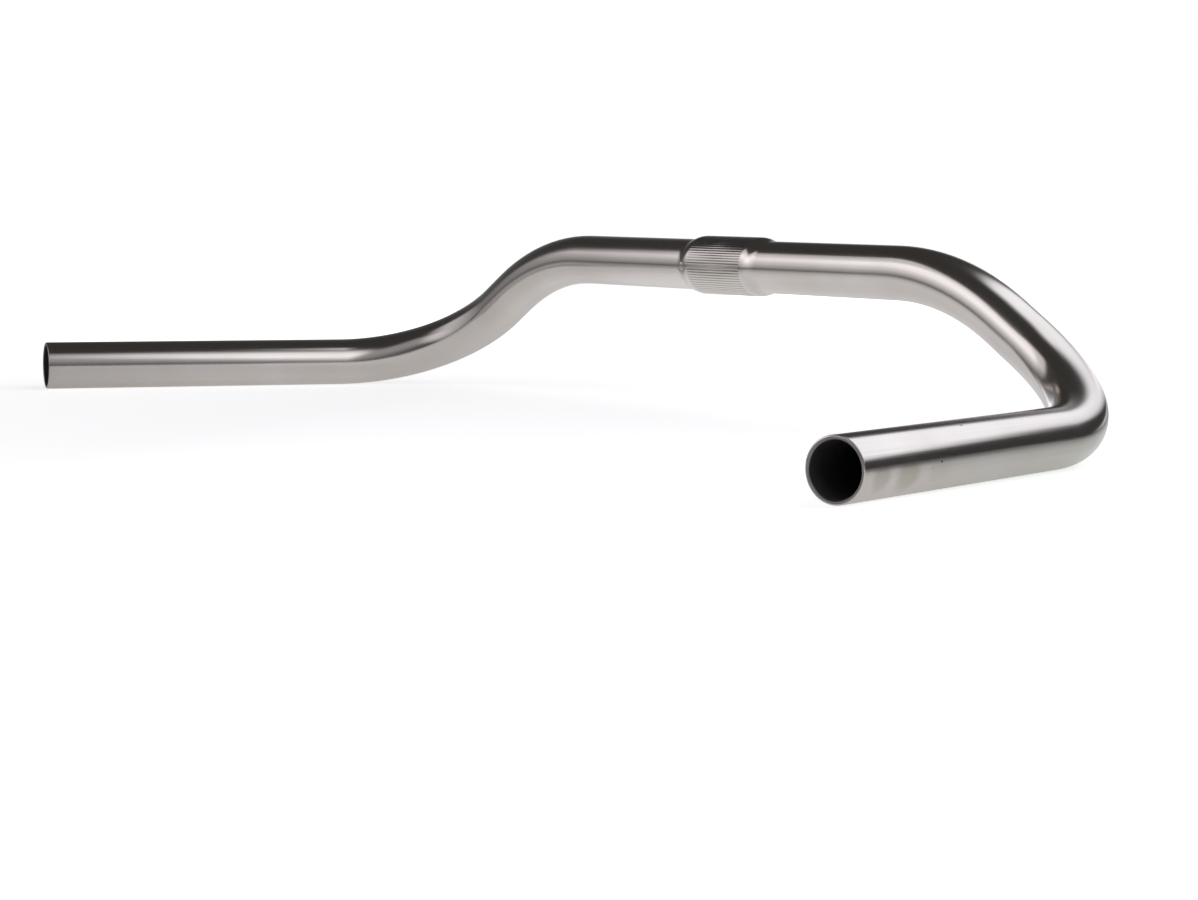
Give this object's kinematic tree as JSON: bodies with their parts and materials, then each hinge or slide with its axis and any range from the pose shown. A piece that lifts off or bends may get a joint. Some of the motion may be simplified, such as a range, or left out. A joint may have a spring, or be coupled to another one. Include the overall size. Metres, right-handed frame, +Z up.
{
  "type": "city bike handlebar",
  "caption": "Bent steel tube handlebar with a raised middle, a swollen knurled clamp seat and two grips swept back towards the rider.",
  "frame": {"origin": "middle of the knurled clamp seat, on the axis of the tube", "axes": "+X along the middle of the bar, -Y towards the ends of the grips and the rider, +Z up with the bar lying on its two grips"},
  "size_m": [0.5926, 0.2068, 0.0774],
  "materials": {
    "steel": "satin"
  },
  "bodies": {
    "root": {"handlebar": "steel"}
  },
  "joints": []
}
